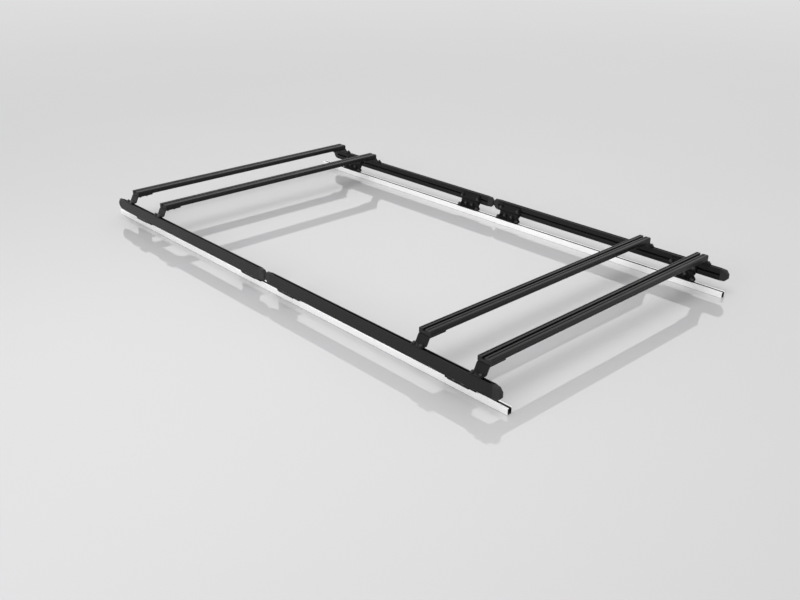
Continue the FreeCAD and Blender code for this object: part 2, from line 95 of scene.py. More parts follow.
def slot_corners(middle, along, inward, sizes):
    """The corners of a T-slot, met while walking along an outline: mouth, lips and channel."""
    mouth, channel, lip, depth = sizes
    half = [(mouth / 2, 0, 0.5), (mouth / 2, lip, 0.3),
            (channel / 2, lip, 0.6), (channel / 2, depth, 0.8)]
    walk = [(-s, d, r) for s, d, r in half] + half[::-1]
    return [(middle[0] + along[0] * s + inward[0] * d, middle[1] + along[1] * s + inward[1] * d, r)
            for s, d, r in walk]


def circle(across, up, radius, points=24):
    return [Vector((across + radius * math.cos(2 * math.pi * k / points),
                    up + radius * math.sin(2 * math.pi * k / points))) for k in range(points)]


def metal_on_left(loop, hollow):
    """Outsides run anticlockwise and hollows clockwise, so that the metal is always on the left."""
    area = sum(a.x * b.y - b.x * a.y for a, b in zip(loop, loop[1:] + loop[:1]))
    return loop[::-1] if (area > 0) == hollow else loop


def inset(loop, amount):
    """The outline drawn into the metal by an amount, each point along its mitre."""
    if not amount:
        return loop
    moved = []
    for i, here in enumerate(loop):
        back = (here - loop[i - 1]).normalized()
        ahead = (loop[(i + 1) % len(loop)] - here).normalized()
        mitre = Vector((-back.y - ahead.y, back.x + ahead.x)).normalized()
        moved.append(here + mitre * (amount / max(mitre.dot(Vector((-ahead.y, ahead.x))), 0.4)))
    return moved


def set_at(centre, across, up, along):
    """How a section is stood in the rack: its centre, its two directions, and its drawn direction."""
    def place(a, b, c):
        return (Vector(centre) + across * a + up * b + along * c) * MM
    return place


def stacked(mesh, layers, place):
    """A solid through layers of (height, loops) with matching points: an outside, then its hollows."""
    grid = [[[mesh.verts.new(place(p.x, p.y, height)) for p in loop] for loop in loops]
            for height, loops in layers]
    for low, high in zip(grid, grid[1:]):
        for a, b in zip(low, high):
            for i in range(len(a)):
                mesh.faces.new((a[i - 1], a[i], b[i], b[i - 1]))
    for ring, (height, loops) in ((grid[0], layers[0]), (grid[-1], layers[-1])):
        corners = [vert for loop in ring for vert in loop]
        flat = [[Vector((p.x, p.y, 0)) for p in loop] for loop in loops]
        for triangle in tessellate_polygon(flat):
            mesh.faces.new([corners[i] for i in triangle])


def prism(mesh, loops, rings, place):
    """A solid of one section through rings of (height, inset)."""
    loops = [metal_on_left(loop, i > 0) for i, loop in enumerate(loops)]
    layers = [(height, [inset(loop, amount) for loop in loops]) for height, amount in rings]
    stacked(mesh, layers, place)


def eased(low, high, ease):
    """The rings of a cut length whose ends have had their sharp edges taken off."""
    return [(low, ease), (low + ease, 0), (high - ease, 0), (high, ease)]


def drilled(mesh, tool):
    """The mesh with the tool's solids cut out of it."""
    made = []
    for name, source in (("blank", mesh), ("drill", tool)):
        bmesh.ops.recalc_face_normals(source, faces=source.faces)
        data = bpy.data.meshes.new(name)
        source.to_mesh(data)
        source.free()
        made.append(bpy.data.objects.new(name, data))
        bpy.context.scene.collection.objects.link(made[-1])
    cut = made[0].modifiers.new("cut", "BOOLEAN")
    cut.object = made[1]
    cut.solver = "EXACT"
    bpy.context.view_layer.update()
    state = bpy.context.evaluated_depsgraph_get()
    result = bpy.data.meshes.new_from_object(made[0].evaluated_get(state))
    finished_mesh = bmesh.new()
    finished_mesh.from_mesh(result)
    for blank in made:
        bpy.data.objects.remove(blank)
    return finished_mesh


def finished(name, mesh, finish, sharp=32):
    """An object from a mesh, with smooth rounds, crisp corners and its finish."""
    bmesh.ops.recalc_face_normals(mesh, faces=mesh.faces)
    data = bpy.data.meshes.new(name)
    mesh.to_mesh(data)
    mesh.free()
    data.polygons.foreach_set("use_smooth", [True] * len(data.polygons))
    data.set_sharp_from_angle(angle=math.radians(sharp))
    data.materials.append(finish)
    piece = bpy.data.objects.new(name, data)
    bpy.context.scene.collection.objects.link(piece)
    shading = piece.modifiers.new("Even shading", "WEIGHTED_NORMAL")
    shading.keep_sharp = True
    return piece


def fitted(piece, body, slot, *nodes):
    """The piece stands for its CAD nodes and moves with its body; its slot is not used."""
    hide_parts(*nodes)
    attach(piece, body)


def new_finish(name, sockets):
    """A finish whose even values are set on its shader, ready for grain to be added."""
    finish = bpy.data.materials.new(name)
    finish.use_nodes = True
    shader = finish.node_tree.nodes["Principled BSDF"]
    for socket, value in sockets.items():
        shader.inputs[socket].default_value = value
    return finish, finish.node_tree, shader


def grain(tree, scale, stretch=(1, 1, 1), detail=3.0, rough=0.5):
    """Fine noise fixed to the piece, stretched along it; scale is in lumps for each metre."""
    where = tree.nodes.new("ShaderNodeTexCoord")
    fit = tree.nodes.new("ShaderNodeMapping")
    fit.inputs["Scale"].default_value = stretch
    noise = tree.nodes.new("ShaderNodeTexNoise")
    noise.inputs["Scale"].default_value = scale
    noise.inputs["Detail"].default_value = detail
    noise.inputs["Roughness"].default_value = rough
    tree.links.new(where.outputs["Object"], fit.inputs["Vector"])
    tree.links.new(fit.outputs["Vector"], noise.inputs["Vector"])
    return noise.outputs["Fac"]


def between(tree, value, source, result):
    """A value carried from one range to another and held at its ends."""
    node = tree.nodes.new("ShaderNodeMapRange")
    tree.links.new(value, node.inputs["Value"])
    for name, number in zip(("From Min", "From Max", "To Min", "To Max"), source + result):
        node.inputs[name].default_value = number
    return node.outputs["Result"]


def tinted(tree, share, low, high):
    """A colour between two, by a share that varies over the piece."""
    node = tree.nodes.new("ShaderNodeMix")
    node.data_type = "RGBA"
    tree.links.new(share, node.inputs["Factor"])
    node.inputs["A"].default_value = (*low, 1)
    node.inputs["B"].default_value = (*high, 1)
    return node.outputs["Result"]


def raised(tree, shader, height, depth):
    """Relief of a depth in metres on top of what relief the finish already has."""
    bump = tree.nodes.new("ShaderNodeBump")
    bump.inputs["Distance"].default_value = depth
    tree.links.new(height, bump.inputs["Height"])
    if shader.inputs["Normal"].is_linked:
        tree.links.new(shader.inputs["Normal"].links[0].from_socket, bump.inputs["Normal"])
    tree.links.new(bump.outputs["Normal"], shader.inputs["Normal"])


def combined(tree, operation, a, b):
    """One value from two, by a plain operation; the second may be a number."""
    node = tree.nodes.new("ShaderNodeMath")
    node.operation = operation
    tree.links.new(a, node.inputs[0])
    if isinstance(b, float):
        node.inputs[1].default_value = b
    else:
        tree.links.new(b, node.inputs[1])
    return node.outputs[0]


def within(tree, value, edge):
    """One up to an edge in metres, falling to nothing over the next tenth of a millimetre."""
    return between(tree, value, (edge, edge + 0.0001), (1, 0))


def anodised_aluminium():
    """Clear anodised extrusion: pale grey metal with fine draw lines along it and faint staining.
    The inside of its slot is painted dark as shade."""
    finish, tree, shader = new_finish("Clear anodised aluminium", {"Metallic": 0.4})
    where = tree.nodes.new("ShaderNodeTexCoord")
    split = tree.nodes.new("ShaderNodeSeparateXYZ")
    tree.links.new(where.outputs["Object"], split.inputs["Vector"])
    from_side = combined(tree, "ABSOLUTE", split.outputs["Y"], 0.0)
    beside = combined(tree, "SUBTRACT", from_side, TRACK_CENTRE * MM)
    from_slot = combined(tree, "ABSOLUTE", beside, 0.0)
    mouth, channel, lip = TRACK_SLOT[:3]
    # Painted shade: the slot's mouth and the channel under its lips are coloured dark.
    under_lips = within(tree, split.outputs["Z"], (TRACK_TOP - lip + 0.1) * MM)
    between_walls = within(tree, from_slot, (channel / 2 + 0.1) * MM)
    in_channel = combined(tree, "MULTIPLY", between_walls, under_lips)
    in_mouth = within(tree, from_slot, (mouth / 2 + 0.2) * MM)
    slot_shade_mask = combined(tree, "MAXIMUM", in_mouth, in_channel)
    draw_lines = grain(tree, 1.0, (1.5, 2600, 2600), 2.0)
    patches = grain(tree, 3.0, (1, 3, 3), 4.0)
    stain = between(tree, patches, (0.35, 0.7), (0, 1))
    tone = tinted(tree, stain, (0.86, 0.86, 0.865), (0.93, 0.925, 0.92))
    slot_shade_mix = tree.nodes.new("ShaderNodeMix")
    slot_shade_mix.data_type = "RGBA"
    tree.links.new(slot_shade_mask, slot_shade_mix.inputs["Factor"])
    tree.links.new(tone, slot_shade_mix.inputs["A"])
    slot_shade_mix.inputs["B"].default_value = SLOT_SHADE
    tree.links.new(slot_shade_mix.outputs["Result"], shader.inputs["Base Color"])
    tree.links.new(between(tree, draw_lines, (0.3, 0.7), (0.26, 0.40)), shader.inputs["Roughness"])
    raised(tree, shader, draw_lines, 0.00002)
    return finish


anodised = anodised_aluminium()
for side in SIDES:
    node = "track_" + side
    low, high = limits(node)
    width, height = high.y - low.y, high.z - low.z
    outline = [(-width / 2, 0, TRACK_EDGE), (width / 2, 0, TRACK_EDGE), (width / 2, height, TRACK_EDGE)]
    outline += slot_corners((0, height), (-1, 0), (0, -1), TRACK_SLOT)
    outline += [(-width / 2, height, TRACK_EDGE)]
    centre = (0, (low.y + high.y) / 2, low.z)
    mesh = bmesh.new()
    prism(mesh, [rounded(outline)], eased(low.x, high.x, SAW_EASE), set_at(centre, Y, Z, X))
    holes = bmesh.new()
    for k in range(-SCREWS_EACH_WAY, SCREWS_EACH_WAY + 1):
        spot = (k * SCREW_PITCH, centre[1], 0)
        prism(holes, [circle(0, 0, SCREW_HOLE / 2)],
              [(-DRILL_SPARE, 0), (TRACK_FLOOR + DRILL_SPARE, 0)], set_at(spot, X, Y, Z))
    track = finished(node + "_extrusion", drilled(mesh, holes), anodised)
    fitted(track, "roof_tracks", "clear_anodised_track", node)


# ---- Side rails ---------------------------------------------------------------------------------
# Four half-length aluminium extrusions in satin black powder coat, two to a side, stood on edge.
# Each is hollow, with a bolt slot along its top and another along its inner face.
HALVES = ("front", "rear")
RAIL_SLOT = (8.5, 13.5, 2.5, 8.5)
INNER_SLOT_UP = 23.5                     # the inner slot's middle above the rail's bottom
RAIL_OUTER_EDGE, RAIL_INNER_EDGE = 3.0, 1.0
RAIL_WALL = 2.5
LOW_HOLLOW_TOP, BACK_HOLLOW_FOOT = 14.0, 16.5    # above the rail's bottom
RAIL_SEAM = (1.0, 7.5, 10.0)             # depth, foot and top of a fine seam along the inner face
RAIL_SAW_EASE = 0.2
CAP_LENGTH = 33.0                        # how far a moulded end cap stands out of the extrusion


def powder_coat(name, colour, roughness, peel):
    """Baked powder coat: fine orange peel, a painted highlight along its edges and a breath of dust on
    top.
    """
    finish, tree, shader = new_finish(name, {"Specular IOR Level": 0.2})
    shape = tree.nodes.new("ShaderNodeNewGeometry")
    split = tree.nodes.new("ShaderNodeSeparateXYZ")
    tree.links.new(shape.outputs["Normal"], split.inputs["Vector"])
    facing_up = between(tree, split.outputs["Z"], (0.6, 1.0), (0, 1))
    clouds = between(tree, grain(tree, 9.0, (0.4, 1, 1), 5.0), (0.42, 0.75), (0, 0.55))
    settled = combined(tree, "MULTIPLY", facing_up, clouds)
    # Painted highlight: sharp edges are coloured lighter, as where light catches them.
    edge = between(tree, shape.outputs["Pointiness"], (0.54, 0.62), (0, 0.5))
    edge_highlight_and_dust = combined(tree, "MAXIMUM", settled, edge)
    highlight_and_dust_tone = tuple(channel * 2.2 + 0.007 for channel in colour)
    tree.links.new(tinted(tree, edge_highlight_and_dust, colour, highlight_and_dust_tone), shader.inputs["Base Color"])
    smears = grain(tree, 24.0, (0.15, 1, 1), 4.0)
    low, high = roughness
    tree.links.new(between(tree, smears, (0.35, 0.7), (low, high)), shader.inputs["Roughness"])
    raised(tree, shader, grain(tree, 900.0, detail=2.0), peel)
    raised(tree, shader, grain(tree, 3200.0, detail=1.0), peel * 0.3)
    return finish


coated_extrusion = powder_coat("Satin black powder coat", (0.0040, 0.0038, 0.0037), (0.24, 0.34),
                               0.00007)
for half in HALVES:
    for side, sign in SIDES.items():
        node = "%s_rail_%s" % (half, side)
        low, high = limits(node)
        thick, height = high.y - low.y, high.z - low.z
        middle = thick / 2
        outline = [(0, 0, RAIL_INNER_EDGE), (thick, 0, RAIL_OUTER_EDGE),
                   (thick, height, RAIL_OUTER_EDGE)]
        outline += slot_corners((middle, height), (-1, 0), (0, -1), RAIL_SLOT)
        outline += [(0, height, RAIL_INNER_EDGE)]
        outline += slot_corners((0, INNER_SLOT_UP), (0, -1), (1, 0), RAIL_SLOT)
        deep, foot, top = RAIL_SEAM
        outline += [(0, top, 0.4), (deep, top, 0.3), (deep, foot, 0.3), (0, foot, 0.4)]
        slot_floor = RAIL_SLOT[3]
        low_hollow = [(RAIL_WALL, RAIL_WALL, 1), (thick - RAIL_WALL, RAIL_WALL, 1),
                      (thick - RAIL_WALL, LOW_HOLLOW_TOP, 1), (RAIL_WALL, LOW_HOLLOW_TOP, 1)]
        back = slot_floor + RAIL_WALL
        back_hollow = [(back, BACK_HOLLOW_FOOT, 1), (thick - RAIL_WALL, BACK_HOLLOW_FOOT, 1),
                       (thick - RAIL_WALL, height - slot_floor - RAIL_WALL, 1),
                       (back, height - slot_floor - RAIL_WALL, 1)]
        inner_face = low.y if sign > 0 else high.y
        mesh = bmesh.new()
        prism(mesh, [rounded(outline), rounded(low_hollow), rounded(back_hollow)],
              eased(low.x, high.x, RAIL_SAW_EASE), set_at((0, inner_face, low.z), Y * sign, Z, X))
        rail = finished(node + "_extrusion", mesh, coated_extrusion)
        fitted(rail, half + "_frame", "black_coated_extrusion", node)


# ---- Rail end caps ------------------------------------------------------------------------------
# A moulded nylon nose plugs each end of each half rail. Its face runs on from the rail and then
# falls away to a bevelled nose; two ribs push into the rail and hold it.
RAIL_HEIGHT, RAIL_THICK = 48.0, 18.0
NOSE = ((0, 0), (18, 0), (33, 15), (33, 33), (21, 48), (0, 48))   # out from the rail, up its height
NOSE_ROUND = 3.6
# how far the face has drawn in, by depth below it: a soft rim, a flat bevel, and the nose's own edge
NOSE_BEVEL = ((0.0, 6.2), (0.12, 5.7), (0.45, 5.2), (2.6, 2.3), (3.6, 1.2), (4.8, 0.4), (6.2, 0.0))
# two ribs: near and far side, foot and top, and how far each reaches into the rail
PLUGS = ((2.7, 15.3, 2.7, 13.8, 22.0), (2.5, 15.5, 39.7, 45.3, 16.0))
RIB_SEAT, RIB_LEAD = 0.05, 1.5           # a rib's gap at its root, and the tapered lead at its end


def moulded_nylon():
    """Black moulded nylon with a fine spark texture, a little greyer where it was gated."""
    finish, tree, shader = new_finish("Moulded black nylon", {"Specular IOR Level": 0.32})
    clouds = between(tree, grain(tree, 30.0, detail=4.0), (0.35, 0.7), (0, 1))
    tree.links.new(tinted(tree, clouds, (0.010, 0.010, 0.0103), (0.016, 0.016, 0.0163)),
                   shader.inputs["Base Color"])
    tree.links.new(between(tree, grain(tree, 60.0), (0.3, 0.7), (0.42, 0.56)),
                   shader.inputs["Roughness"])
    raised(tree, shader, grain(tree, 1500.0, detail=3.0), 0.00012)
    return finish


def edge_drop(radius, depth):
    """How far a rounded edge has drawn in at a depth below the face."""
    if depth >= radius:
        return 0.0
    return radius - math.sqrt(radius ** 2 - (radius - depth) ** 2)


def nose_loop(drawn_in, join_drop):
    """The nose's outline drawn in at its tip, while at the join it follows the rail's own edges."""
    shape = inset([Vector(p) for p in NOSE], drawn_in)
    shape[0], shape[-1] = Vector((0, join_drop)), Vector((0, RAIL_HEIGHT - join_drop))
    radius = NOSE_ROUND - drawn_in * 0.25
    radii = [0] + [radius] * (len(shape) - 2) + [0]
    return rounded([(p.x, p.y, r) for p, r in zip(shape, radii)], 6)


nylon = moulded_nylon()
for half in HALVES:
    for side, sign in SIDES.items():
        for end, facing in (("rear", -1), ("front", 1)):
            node = "%s_rail_%s_%s_cap" % (half, side, end)
            low, high = limits(node)
            join = high.x - CAP_LENGTH if facing > 0 else low.x + CAP_LENGTH
            inner_face = low.y if sign > 0 else high.y
            layers = []
            for depth, drawn_in in NOSE_BEVEL:
                layers.append((depth, [nose_loop(drawn_in, edge_drop(RAIL_INNER_EDGE, depth))]))
            for depth, drawn_in in NOSE_BEVEL[::-1]:
                loop = nose_loop(drawn_in, edge_drop(RAIL_OUTER_EDGE, depth))
                layers.append((RAIL_THICK - depth, [loop]))
            mesh = bmesh.new()
            stacked(mesh, layers, set_at((join, inner_face, low.z), X * facing, Z, Y * sign))
            for near, far, bottom, top, reach in PLUGS:
                rib = rounded([(near, bottom, 1), (far, bottom, 1), (far, top, 1), (near, top, 1)])
                prism(mesh, [rib], [(RIB_SEAT, 0), (reach - RIB_LEAD, 0), (reach, 0.9)],
                      set_at((join, inner_face, low.z), Y * sign, Z, X * -facing))
            cap = finished(node + "_moulding", mesh, nylon, 25)
            fitted(cap, half + "_frame", "black_moulded_plastic", node)


# ---- Foot plates --------------------------------------------------------------------------------
# Eight upright plates, laser cut from 6 mm aluminium and powder coated, hang on the rails' inner
# faces from two bolts each. Two countersunk holes low down take the bolts that clamp the bases.
CORNER_CUT, CORNER_RISE = 12.0, 20.0     # the bevels at a plate's two lower corners
PLATE_ROUND = 6.0
M6, M8 = 3.0, 4.0                        # bolt radii
HOLE_SPARE = 0.5
COUNTERSINK = 4.0                        # depth of an M8 head's cone, as wide again as its shank
SINK_SPARE = 0.1                         # round the head's rim
RAIL_BOLT_REACH, RAIL_BOLT_Z = 50.5, 76.0
CLAMP_BOLT_REACH, CLAMP_BOLT_Z = 20.0, 42.5
FEET = ("front", "rear")


def plate_layer(outline, height, amount):
    """The plate's loops at a depth below its outer face, with the countersinks closing as they go."""
    sink = max(M8 + HOLE_SPARE, M8 + COUNTERSINK + SINK_SPARE - height)
    loops = [inset(outline, amount)]
    for way in (-1, 1):
        loops.append(circle(way * RAIL_BOLT_REACH, RAIL_BOLT_Z, M8 + HOLE_SPARE + amount)[::-1])
        loops.append(circle(way * CLAMP_BOLT_REACH, CLAMP_BOLT_Z, sink + amount)[::-1])
    return height, loops


coated_plate = powder_coat("Black powder coat on plate", (0.0040, 0.0039, 0.0039), (0.30, 0.42),
                           0.00009)
for half in HALVES:
    for side, sign in SIDES.items():
        for foot in FEET:
            node = "%s_rail_%s_%s_foot_plate" % (half, side, foot)
            low, high = limits(node)
            reach, thick = (high.x - low.x) / 2, high.y - low.y
            outline = [(-reach + CORNER_CUT, low.z), (reach - CORNER_CUT, low.z),
                       (reach, low.z + CORNER_RISE), (reach, high.z),
                       (-reach, high.z), (-reach, low.z + CORNER_RISE)]
            outline = rounded([(a, b, PLATE_ROUND) for a, b in outline], 6)
            rings = ((0, 0.3), (0.3, 0), (COUNTERSINK - HOLE_SPARE + SINK_SPARE, 0), (thick - 0.9, 0),
                     (thick - 0.35, 0.25), (thick, 0.9))
            outer_face = high.y if sign > 0 else low.y
            mesh = bmesh.new()
            stacked(mesh, [plate_layer(outline, height, amount) for height, amount in rings],
                    set_at(((low.x + high.x) / 2, outer_face, 0), X, Z, Y * -sign))
            plate = finished(node + "_coated", mesh, coated_plate)
            fitted(plate, half + "_frame", "black_coated_plate", node)


# ---- Foot bases ---------------------------------------------------------------------------------
# A bent angle stands under each foot plate: its flange is bolted down into the roof track and its
# upright web is clamped to the plate. The web narrows above the bend.
BASE_THICK = 5.5
BASE_BEND = 3.0                          # inside radius
WEB_REACH = 55.0                         # half the web's width at its top
FLARE_RISE = 12.0                        # from the bend up to where the web is at its narrowest
BASE_CORNERS = (5, 3, 4)                 # radii on the flange, where the web narrows, and at its top
BASE_EASE = 0.5
TRACK_BOLT_REACH = 56.0
BEND_STEPS = 8


def flat(a, b, c):
    return Vector((a, b, c))


def fold_point(along, thick, bends):
    """Where a point of the flat blank lands in the side view, as (out, up)."""
    out, up, heading, reached = 0.0, 0.0, 0.0, 0.0
    for start, turn, radius in bends:
        if along <= start:
            break
        out += (start - reached) * math.cos(heading)
        up += (start - reached) * math.sin(heading)
        bow = math.copysign(radius, turn)
        middle_out, middle_up = out - bow * math.sin(heading), up + bow * math.cos(heading)
        swept = min((along - start) / radius, abs(turn))
        heading += math.copysign(swept, turn)
        out, up = middle_out + bow * math.sin(heading), middle_up - bow * math.cos(heading)
        reached = start + swept * radius
    out += (along - reached) * math.cos(heading)
    up += (along - reached) * math.sin(heading)
    return out - thick * math.sin(heading), up + thick * math.cos(heading)


def folded(mesh, bends, place):
    """Bends a flat blank about lines across it. Bends are (start, turn, radius of the under face)."""
    for start, turn, radius in bends:
        for k in range(BEND_STEPS + 1):
            line = start + abs(turn) * radius * k / BEND_STEPS
            bmesh.ops.bisect_plane(mesh, geom=mesh.verts[:] + mesh.edges[:] + mesh.faces[:], dist=1e-4,
                                   plane_co=(0, line, 0), plane_no=(0, 1, 0))
    for vert in mesh.verts:
        out, up = fold_point(vert.co.y, vert.co.z, bends)
        vert.co = place(vert.co.x, out, up)


for half in HALVES:
    for side, sign in SIDES.items():
        for foot in FEET:
            node = "%s_rail_%s_%s_foot_base" % (half, side, foot)
            low, high = limits(node)
            reach = (high.x - low.x) / 2
            bend_radius = BASE_BEND + BASE_THICK
            bend_start = high.y - low.y - bend_radius
            bend_end = bend_start + bend_radius * math.pi / 2
            web_top = bend_end + high.z - low.z - bend_radius
            flange_round, waist_round, top_round = BASE_CORNERS
            right = [(reach, 0, flange_round), (reach, bend_end - 1, waist_round),
                     (WEB_REACH, bend_end + FLARE_RISE, waist_round), (WEB_REACH, web_top, top_round)]
            outline = [(-reach, 0, flange_round)] + right
            outline += [(-a, b, radius) for a, b, radius in right[:0:-1]]
            loops = [rounded(outline, 5)]
            inner_edge = low.y if sign > 0 else high.y
            for way in (-1, 1):
                track_hole = TRACK_CENTRE - abs(inner_edge)
                clamp_hole = bend_end + CLAMP_BOLT_Z - low.z - bend_radius
                loops.append(circle(way * TRACK_BOLT_REACH, track_hole, M8 + HOLE_SPARE))
                loops.append(circle(way * CLAMP_BOLT_REACH, clamp_hole, M8 + HOLE_SPARE))
            mesh = bmesh.new()
            prism(mesh, loops, eased(0, BASE_THICK, BASE_EASE), flat)
            folded(mesh, [(bend_start, math.pi / 2, bend_radius)],
                   set_at(((low.x + high.x) / 2, inner_edge, low.z), X, Y * sign, Z))
            base = finished(node + "_coated", mesh, coated_plate)
            fitted(base, half + "_frame", "black_coated_plate", node)


# ---- Foot bolts ---------------------------------------------------------------------------------
# Dark zinc-plated M8 fasteners. Hammer-head bolts slide in the rail's inner slot and in the roof
# track and turn under their lips; two countersunk bolts clamp each plate to its base, with a hexagon
# socket in each flush head. All have washers and nuts.
RING_POINTS = 36
M8_NUT, M8_NUT_HEIGHT, M8_PITCH = 13.0, 6.5, 1.25
M8_WASHER = (8.2, 1.6)                   # outside radius and thickness
SEAT = 0.05
RAIL_FACE, RAIL_LIP = 649.0, RAIL_SLOT[2]
PLATE_THICK = 6.0
SLIDE_GAP = 0.3
TRACK_LIP = TRACK_SLOT[2]
# hammer heads: size along the rack, across it and through the head; then each bolt's length
RAIL_HEAD, RAIL_BOLT = (14.0, 12.5, 4.5), 20.0
TRACK_HEAD, TRACK_BOLT = (18.0, 16.0, 5.0), 21.0
CLAMP_BOLT = 23.0                        # the length of a countersunk one
SOCKET = (5.0, 2.6)                      # across its flats, and deep
THREAD_START = 2.0                       # above the washer
NUT_GAP = 0.1


def dark_zinc():
    """Steel under dark zinc plating, lightly tumbled, a little blotched and with fine marks."""
    finish, tree, shader = new_finish("Dark zinc-plated steel", {"Metallic": 1.0})
    clouds = between(tree, grain(tree, 160.0, detail=3.0), (0.3, 0.7), (0, 1))
    tree.links.new(tinted(tree, clouds, (0.06, 0.06, 0.062), (0.12, 0.119, 0.117)),
                   shader.inputs["Base Color"])
    tree.links.new(between(tree, grain(tree, 900.0), (0.3, 0.7), (0.24, 0.36)),
                   shader.inputs["Roughness"])
    raised(tree, shader, grain(tree, 2500.0, detail=2.0), 0.00002)
    return finish


def ring(radius, flats=None):
    """Radii round a ring: a circle, or a hexagon across its flats held inside that circle."""
    if flats is None:
        return [radius] * RING_POINTS
    turned = [(360.0 * k / RING_POINTS + 30) % 60 - 30 for k in range(RING_POINTS)]
    return [min(radius, flats / 2 / math.cos(math.radians(angle))) for angle in turned]


def thread_rings(radius, pitch, start, end):
    """Rings down an exposed bolt end, cut by a real helix and pointed at its tip."""
    rings, depth = [], pitch * 0.55
    count = int((end - start) / pitch * 5)
    for k in range(count + 1):
        height = start + (end - start) * k / count
        tip = max(0.0, height - (end - pitch * 0.8)) * 0.7
        radii = []
        for j in range(RING_POINTS):
            phase = 2 * math.pi * (height / pitch - j / RING_POINTS)
            radii.append(radius - tip - depth * (0.5 + 0.5 * math.cos(phase)))
        rings.append((height, radii))
    return rings


def turned_solid(mesh, rings, place, bored=False):
    """A solid through rings of (height, radii). A bored one runs up its outside and down its bore."""
    grid = []
    for height, radii in rings:
        angles = [2 * math.pi * k / RING_POINTS for k in range(RING_POINTS)]
        grid.append([mesh.verts.new(place(r * math.cos(t), r * math.sin(t), height))
                     for r, t in zip(radii, angles)])
    pairs = list(zip(grid, grid[1:])) + ([(grid[-1], grid[0])] if bored else [])
    for a, b in pairs:
        for i in range(RING_POINTS):
            mesh.faces.new((a[i - 1], a[i], b[i], b[i - 1]))
    if not bored:
        mesh.faces.new(grid[0])
        mesh.faces.new(grid[-1])


def washer(mesh, size, bore, place):
    radius, thick = size
    outside = [(0, radius - 0.2), (0.2, radius), (thick - 0.2, radius), (thick, radius - 0.2)]
    inside = [(thick, bore + 0.2), (0, bore + 0.2)]
    turned_solid(mesh, [(h, ring(r)) for h, r in outside + inside], place, True)


def hexagon_rings(flats, height):
    """The outside of a nut, its corners turned down to a circle at both faces."""
    corner = flats / 2 / math.cos(math.radians(30))
    face = flats / 2 * 0.96
    rise = (corner - face) * 0.55
    foot = [(0, ring(face)), (rise / 2, ring((face + corner) / 2, flats)), (rise, ring(corner, flats))]
    top = [(height - rise, ring(corner, flats)), (height - rise / 2, ring((face + corner) / 2, flats)),
           (height, ring(face))]
    return foot + top


def nut(mesh, flats, height, bore, place):
    inside = [(height, ring(bore + 0.5)), (height - 0.5, ring(bore)),
              (0.5, ring(bore)), (0, ring(bore + 0.5))]
    turned_solid(mesh, hexagon_rings(flats, height) + inside, place, True)


def hammer_head(mesh, size, place):
    """The block that turns under a slot's lips, standing below the seat."""
    long, wide, thick = size
    corners = [(a * long / 2, b * wide / 2, 2) for a, b in ((-1, -1), (1, -1), (1, 1), (-1, 1))]
    prism(mesh, [rounded(corners)], eased(-thick, 0, 0.4), place)


def shank(mesh, radius, pitch, length, bare, place, head=()):
    """A bolt's shank: plain to a height, and threaded from there to its tip. A round head leads it."""
    plain = (list(head) or [(0.0, ring(radius))]) + [(bare, ring(radius))]
    turned_solid(mesh, plain + thread_rings(radius, pitch, bare + 0.2, length), place)


def countersunk(flats, depth):
    """A flush head from the floor of its hexagon socket out to its rim and down its cone."""
    corner = flats / 2 / math.cos(math.radians(30))
    rim = M8 + COUNTERSINK
    return [(depth, ring(corner, flats)), (0.25, ring(corner, flats)), (0.0, ring(corner + 0.25)),
            (0.0, ring(rim - 0.5)), (0.25, ring(rim - 0.15)), (COUNTERSINK, ring(M8))]


def m8_stack(mesh, length, face, at, head=()):
    """Shank, washer and nut of an M8 bolt. Heights are counted from the seat under its head."""
    shank(mesh, M8, M8_PITCH, length, face + M8_WASHER[1] + THREAD_START, at(0), head)
    washer(mesh, M8_WASHER, M8, at(face))
    nut(mesh, M8_NUT, M8_NUT_HEIGHT, M8 - 0.3, at(face + M8_WASHER[1] + NUT_GAP))


def foot_centres(half):
    """Each foot of one half as its side's sign and its middle along the rail."""
    for side, sign in SIDES.items():
        for foot in FEET:
            low, high = limits("%s_rail_%s_%s_foot_plate" % (half, side, foot))
            yield sign, (low.x + high.x) / 2


def standing(x, y, z, axis):
    """Places a turned piece on a point, its axis along one of the rack's directions."""
    up = axis.cross(X)

    def at(height):
        return set_at(Vector((x, y, z)) + axis * height, X, up, axis)
    return at


fastener_steel = dark_zinc()
for half in HALVES:
    rail_bolts, clamp_bolts, track_bolts = bmesh.new(), bmesh.new(), bmesh.new()
    for sign, middle in foot_centres(half):
        inward = Y * -sign
        for way in (-1, 1):
            seat = RAIL_FACE + RAIL_LIP + SEAT
            at = standing(middle + way * RAIL_BOLT_REACH, sign * seat, RAIL_BOLT_Z, inward)
            hammer_head(rail_bolts, RAIL_HEAD, at(0))
            m8_stack(rail_bolts, RAIL_BOLT, RAIL_LIP + PLATE_THICK + 3 * SEAT, at)

            seat = RAIL_FACE - SEAT
            at = standing(middle + way * CLAMP_BOLT_REACH, sign * seat, CLAMP_BOLT_Z, inward)
            m8_stack(clamp_bolts, CLAMP_BOLT, PLATE_THICK + BASE_THICK + 2 * SEAT, at,
                     countersunk(*SOCKET))

            seat = TRACK_TOP - TRACK_LIP - SLIDE_GAP
            at = standing(middle + way * TRACK_BOLT_REACH, sign * TRACK_CENTRE, seat, Z)
            hammer_head(track_bolts, TRACK_HEAD, at(0))
            m8_stack(track_bolts, TRACK_BOLT, TRACK_LIP + 2 * SLIDE_GAP + BASE_THICK + SEAT, at)
    for role, mesh in (("to_rail", rail_bolts), ("clamp", clamp_bolts), ("to_track", track_bolts)):
        node = "%s_foot_%s_bolts" % (half, role)
        bolts = finished(node + "_set", mesh, fastener_steel, 38)
        fitted(bolts, half + "_frame", "zinc_steel_fastener", node)


